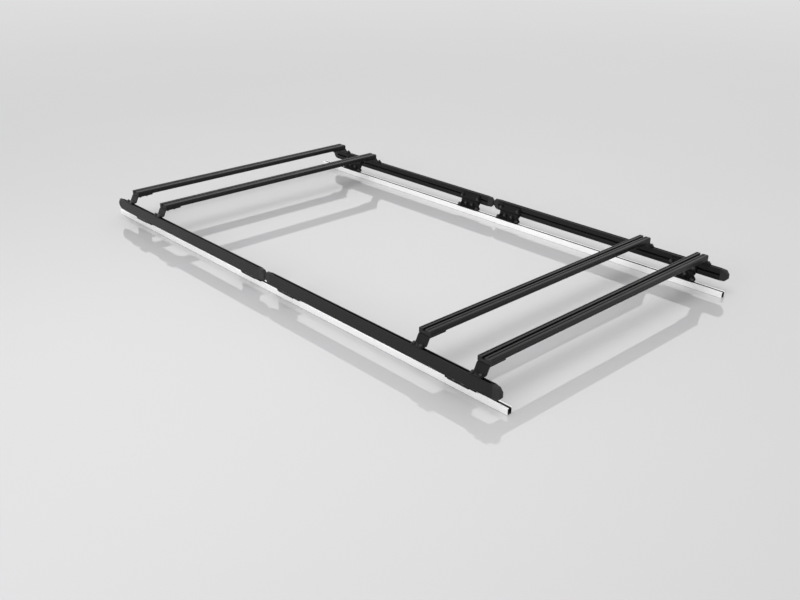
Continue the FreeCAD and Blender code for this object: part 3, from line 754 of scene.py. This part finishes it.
# ---- Crossbars ----------------------------------------------------------------------------------
# Four hollow aluminium extrusions in the same satin black coat. A wide bolt slot runs along the top
# with a groove each side of it, another slot underneath, and a fine seam along each edge.
BARS = (1, 2, 3, 4)
BAR_SLOT = (10.0, 17.0, 3.0, 9.0)
SLOT_FORWARD = 3.0                       # the slots sit a little forward of the bar's middle
BAR_GROOVE = (2.0, 3.0)                  # half width and depth of the grooves beside the top slot
GROOVES = (15.5, -14.5)                  # their middles from the slot's
BAR_TOP_EDGE, BAR_FOOT_EDGE = 4.5, 2.5
BAR_SEAM = (0.9, 7.5, 10.0)              # depth, foot and top of the seam along each edge
CHAMBER_FLOOR, CHAMBER_ROOF = 2.5, 4.5   # walls round the chambers on either side of the slots
CHAMBER_SIDE, CHAMBER_SLOT = 3.5, 2.0
BAR_SAW_EASE = 0.2


def bar_hollows(width, height, clear):
    """The closed chambers on either side of a bar's slots, shrunk by a clearance."""
    from_slot = BAR_SLOT[1] / 2 + CHAMBER_SLOT + clear
    near, far = SLOT_FORWARD + from_slot, SLOT_FORWARD - from_slot
    low, high = CHAMBER_FLOOR + clear, height - CHAMBER_ROOF - clear
    edge = width / 2 - CHAMBER_SIDE - clear
    return [rounded([(a, low, 1), (b, low, 1), (b, high, 1), (a, high, 1)])
            for a, b in ((near, edge), (-edge, far))]


def groove_corners(middle, height):
    """The corners of a groove in the bar's top, met on the way back along it."""
    half, deep = BAR_GROOVE
    return [(middle + half, height, 0.5), (middle + half, height - deep, 0.5),
            (middle - half, height - deep, 0.5), (middle - half, height, 0.5)]


def bar_outline(width, height):
    """The bar's section with its slots, grooves and side seams, walked anticlockwise from below."""
    half = width / 2
    deep, foot, top = BAR_SEAM
    corners = [(-half, 0, BAR_FOOT_EDGE)]
    corners += slot_corners((SLOT_FORWARD, 0), (1, 0), (0, 1), BAR_SLOT)
    corners += [(half, 0, BAR_FOOT_EDGE), (half, foot, 0.4), (half - deep, foot, 0.3),
                (half - deep, top, 0.3), (half, top, 0.4), (half, height, BAR_TOP_EDGE)]
    corners += groove_corners(SLOT_FORWARD + GROOVES[0], height)
    corners += slot_corners((SLOT_FORWARD, height), (-1, 0), (0, -1), BAR_SLOT)
    corners += groove_corners(SLOT_FORWARD + GROOVES[1], height)
    corners += [(-half, height, BAR_TOP_EDGE), (-half, top, 0.4), (-half + deep, top, 0.3),
                (-half + deep, foot, 0.3), (-half, foot, 0.4)]
    return rounded(corners)


for number in BARS:
    node = "crossbar_%d" % number
    low, high = limits(node)
    width, height = high.x - low.x, high.z - low.z
    mesh = bmesh.new()
    prism(mesh, [bar_outline(width, height)] + bar_hollows(width, height, 0),
          eased(low.y, high.y, BAR_SAW_EASE), set_at(((low.x + high.x) / 2, 0, low.z), X, Z, Y))
    bar = finished(node + "_extrusion", mesh, coated_extrusion)
    fitted(bar, "bar_%d" % number, "black_coated_extrusion", node)


# ---- Crossbar end caps --------------------------------------------------------------------------
# A thin moulded nylon plate closes each end of each bar, with its face rounded over and a gap left
# where the top slot runs out. Two ribs hold it in the bar's chambers.
BAR_CAP_THICK = 4.0
# heights of the face above its seat, with how far it has drawn in there
CAP_FACE = ((0.0, 0.0), (1.9, 0.0), (2.6, 0.15), (3.2, 0.5), (3.7, 1.1), (3.95, 1.8), (4.0, 2.4))
CAP_RIB = 14.0
CAP_RIB_SPARE = 0.15                     # round a rib in its chamber

for number in BARS:
    node = "crossbar_%d_end_caps" % number
    low, high = limits(node)
    width, height = high.x - low.x, high.z - low.z
    half, mouth, depth = width / 2, BAR_SLOT[0] / 2, BAR_SLOT[3]
    outline = [(-half, 0, BAR_FOOT_EDGE), (half, 0, BAR_FOOT_EDGE), (half, height, BAR_TOP_EDGE),
               (SLOT_FORWARD + mouth, height, 0.6), (SLOT_FORWARD + mouth, height - depth, 1.2),
               (SLOT_FORWARD - mouth, height - depth, 1.2), (SLOT_FORWARD - mouth, height, 0.6),
               (-half, height, BAR_TOP_EDGE)]
    mesh = bmesh.new()
    for sign in SIDES.values():
        seat = (high.y - BAR_CAP_THICK) * sign
        centre = ((low.x + high.x) / 2, seat, low.z)
        prism(mesh, [rounded(outline)], CAP_FACE, set_at(centre, X, Z, Y * sign))
        for hollow in bar_hollows(width, height, CAP_RIB_SPARE):
            prism(mesh, [hollow], [(RIB_SEAT, 0), (CAP_RIB - RIB_LEAD, 0), (CAP_RIB, 0.8)],
                  set_at(centre, X, Z, Y * -sign))
    caps = finished(node + "_moulding", mesh, nylon, 25)
    fitted(caps, "bar_%d" % number, "black_moulded_plastic", node)


# ---- Brackets -----------------------------------------------------------------------------------
# One bent plate at each end of each bar. It lies under the bar, turns down past the bar's end, and
# turns out again over the rail, where two small bolts hold it to the rail's top slot.
BRACKET_THICK = 5.0
BRACKET_BEND = 2.5                       # inside radius of both bends
LEG_SLOPE = math.radians(62.7)
KNEE = 74.9                              # from the plate's inner edge to its first bend
BAR_BOLTS = (20.0, 53.0)                 # from the same edge
RAIL_BOLT_IN = 8.0                       # from the plate's outer edge
RAIL_BOLT_HALF_SPREAD = 16.0
BRACKET_ROUND = 6.0
BRACKET_EASE = 0.6

for number in BARS:
    for side, sign in SIDES.items():
        node = "crossbar_%d_bracket_%s" % (number, side)
        low, high = limits(node)
        reach = (high.x - low.x) / 2
        knee, ankle = BRACKET_BEND, BRACKET_BEND + BRACKET_THICK
        drop = high.z - low.z - BRACKET_THICK
        leg = (drop - (knee + ankle) * (1 - math.cos(LEG_SLOPE))) / math.sin(LEG_SLOPE)
        turned_out = KNEE + knee * LEG_SLOPE + leg
        run = KNEE + (knee + ankle) * math.sin(LEG_SLOPE) + leg * math.cos(LEG_SLOPE)
        length = turned_out + ankle * LEG_SLOPE + (high.y - low.y) - run
        outline = [(-reach, 0), (reach, 0), (reach, length), (-reach, length)]
        loops = [rounded([(a, b, BRACKET_ROUND) for a, b in outline], 6)]
        loops += [circle(SLOT_FORWARD, along, M8 + HOLE_SPARE) for along in BAR_BOLTS]
        loops += [circle(way * RAIL_BOLT_HALF_SPREAD, length - RAIL_BOLT_IN, M6 + HOLE_SPARE)
                  for way in (-1, 1)]
        mesh = bmesh.new()
        prism(mesh, loops, eased(0, BRACKET_THICK, BRACKET_EASE), flat)
        inner_edge = low.y if sign > 0 else high.y
        folded(mesh, [(KNEE, -LEG_SLOPE, knee), (turned_out, LEG_SLOPE, ankle)],
               set_at(((low.x + high.x) / 2, inner_edge, high.z - BRACKET_THICK), X, Y * sign, Z))
        bracket = finished(node + "_coated", mesh, coated_plate)
        fitted(bracket, "bar_%d" % number, "black_coated_plate", node)


# ---- Bracket bolts ------------------------------------------------------------------------------
# M8 hammer-head bolts hang in the bar's lower slot with their nuts under the bracket, and smaller M6
# ones stand up from the rail's top slot with their nuts on the bracket's outer flange.
M6_NUT, M6_NUT_HEIGHT, M6_PITCH = 9.75, 5.0, 1.0
M6_WASHER = (6.15, 1.2)
RAIL_TOP = 100.5
BAR_HEAD, BAR_BOLT = (16.0, 18.0, 5.0), 20.0
SMALL_HEAD, SMALL_BOLT = (14.0, 12.5, 4.0), 16.5

for number in BARS:
    bar_bolts, rail_bolts = bmesh.new(), bmesh.new()
    bar_low, bar_high = limits("crossbar_%d" % number)
    middle = (bar_low.x + bar_high.x) / 2
    for side, sign in SIDES.items():
        low, high = limits("crossbar_%d_bracket_%s" % (number, side))
        inner_edge = low.y if sign > 0 else high.y
        outer_edge = high.y if sign > 0 else low.y
        seat = bar_low.z + BAR_SLOT[2] + SEAT
        for along in BAR_BOLTS:
            at = standing(middle + SLOT_FORWARD, inner_edge + sign * along, seat, -Z)
            hammer_head(bar_bolts, BAR_HEAD, at(0))
            m8_stack(bar_bolts, BAR_BOLT, BAR_SLOT[2] + BRACKET_THICK + 3 * SEAT, at)
        for way in (-1, 1):
            seat = RAIL_TOP - RAIL_LIP - SLIDE_GAP
            at = standing(middle + way * RAIL_BOLT_HALF_SPREAD, outer_edge - sign * RAIL_BOLT_IN,
                          seat, Z)
            hammer_head(rail_bolts, SMALL_HEAD, at(0))
            face = RAIL_LIP + 2 * SLIDE_GAP + BRACKET_THICK + SEAT
            shank(rail_bolts, M6, M6_PITCH, SMALL_BOLT, face + M6_WASHER[1] + THREAD_START, at(0))
            washer(rail_bolts, M6_WASHER, M6, at(face))
            nut(rail_bolts, M6_NUT, M6_NUT_HEIGHT, M6 - 0.25, at(face + M6_WASHER[1] + NUT_GAP))
    for role, mesh in (("bracket", bar_bolts), ("rail", rail_bolts)):
        node = "crossbar_%d_to_%s_bolts" % (number, role)
        bolts = finished(node + "_set", mesh, fastener_steel, 38)
        fitted(bolts, "bar_%d" % number, "zinc_steel_fastener", node)


# ---- Floor and light ----------------------------------------------------------------------------
# A pale, lightly polished floor runs out of sight under an even white sky, with broad soft lights
# high over the rack and on its left.
FLOOR_REACH = 60.0
FLOOR_LEVEL = -0.0004                    # just under the tracks
SKY_STRENGTH = 0.95
# where each light stands, its width, its power, and the angle its beam is held to
LIGHTS = {"overhead light": ((-1.0, 1.5, 5.0), 4.0, 160.0, 180),
          "left light": ((-0.8, 5.5, 1.8), 3.0, 20.0, 50)}

floor_mesh = bmesh.new()
floor_outline = rounded([(a * FLOOR_REACH, b * FLOOR_REACH, FLOOR_REACH / 2)
                         for a, b in ((-1, -1), (1, -1), (1, 1), (-1, 1))], 12)
floor_mesh.faces.new([floor_mesh.verts.new((p.x, p.y, FLOOR_LEVEL)) for p in floor_outline])
floor_data = bpy.data.meshes.new("floor")
floor_mesh.to_mesh(floor_data)
floor_mesh.free()
floor = bpy.data.objects.new("floor", floor_data)
bpy.context.scene.collection.objects.link(floor)
floor_finish, tree, shader = new_finish("Pale polished floor", {"Specular IOR Level": 0.75, "IOR": 1.8})
tree.links.new(tinted(tree, grain(tree, 0.6, detail=2.0), (0.425, 0.42, 0.428), (0.45, 0.445, 0.452)),
               shader.inputs["Base Color"])
tree.links.new(between(tree, grain(tree, 3.0, detail=3.0), (0.3, 0.7), (0.03, 0.05)),
               shader.inputs["Roughness"])
floor_data.materials.append(floor_finish)

world = bpy.data.worlds.new("White studio")
world.use_nodes = True
world.node_tree.nodes["Background"].inputs["Color"].default_value = (1.0, 1.0, 1.0, 1)
world.node_tree.nodes["Background"].inputs["Strength"].default_value = SKY_STRENGTH
bpy.context.scene.world = world

for name, (spot, size, power, spread) in LIGHTS.items():
    lamp = bpy.data.lights.new(name, "AREA")
    lamp.shape = "DISK"
    lamp.size = size
    lamp.energy = power
    lamp.spread = math.radians(spread)
    light = bpy.data.objects.new(name, lamp)
    light.location = spot
    light.rotation_euler = (Vector(spot) * -1).to_track_quat("-Z", "Y").to_euler()
    light.visible_glossy = False
    bpy.context.scene.collection.objects.link(light)
bpy.context.scene.view_settings.view_transform = "Standard"


# ---- Camera -------------------------------------------------------------------------------------
# It stands behind the rack's rear left corner and looks down across it towards the front.
EYE = Vector((-2.7038, 2.4115, 1.4336))
LOOK = Vector((0.6689, -0.6138, -0.4193))
camera = bpy.data.cameras.new("camera")
camera.lens = 39.9
camera.sensor_width = 36.0
viewer = bpy.data.objects.new("camera", camera)
viewer.location = EYE
viewer.rotation_euler = LOOK.to_track_quat("-Z", "Y").to_euler()
bpy.context.scene.collection.objects.link(viewer)
bpy.context.scene.camera = viewer
